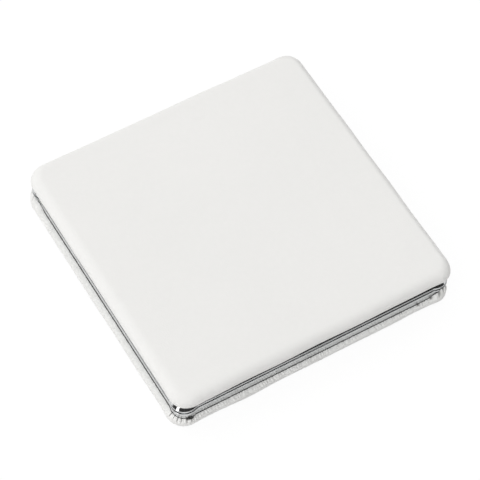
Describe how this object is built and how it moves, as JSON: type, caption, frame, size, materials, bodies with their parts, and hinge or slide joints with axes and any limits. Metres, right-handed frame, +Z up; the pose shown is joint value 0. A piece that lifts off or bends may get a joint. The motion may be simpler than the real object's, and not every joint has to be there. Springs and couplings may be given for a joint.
{
  "type": "compact mirror",
  "caption": "Square folding compact mirror: white leather-covered pads on chromed trays that hold a plain and a magnifying mirror, hinged at the back, with a hidden snap catch.",
  "frame": {"origin": "middle of the face the closed mirror rests on", "axes": "+Z up through the closed halves, -Y towards the opening edge, +Y towards the hinge, X along the hinge"},
  "size_m": [0.065, 0.0662, 0.0102],
  "materials": {
    "white_leather": "fine-grained white coated leather, satin",
    "foam": "thin sponge sheet",
    "greyboard": "greyboard",
    "adhesive_tape": "double-sided foam tape",
    "chrome": "bright chrome plate",
    "mirror": "silvered glass",
    "steel": "plain spring steel"
  },
  "bodies": {
    "base": {"base_leather": "white_leather", "base_foam": "foam", "base_board": "greyboard", "base_pad_tape": "adhesive_tape", "base_tray": "chrome", "base_mirror_tape": "adhesive_tape", "base_mirror": "mirror", "base_hinge_leaf": "chrome", "hinge_pin": "steel", "catch_spring": "steel"},
    "lid": {"lid_leather": "white_leather", "lid_foam": "foam", "lid_board": "greyboard", "lid_pad_tape": "adhesive_tape", "lid_tray": "chrome", "lid_mirror_tape": "adhesive_tape", "lid_mirror": "mirror", "lid_hinge_leaf": "chrome", "catch_tongue": "steel"}
  },
  "joints": [
    {"name": "lid_hinge", "type": "hinge", "parent": "base", "child": "lid", "pos_m": [0, 0.03265, 0.0051], "axis": [-1, 0, 0], "range_deg": [0, 180]}
  ]
}
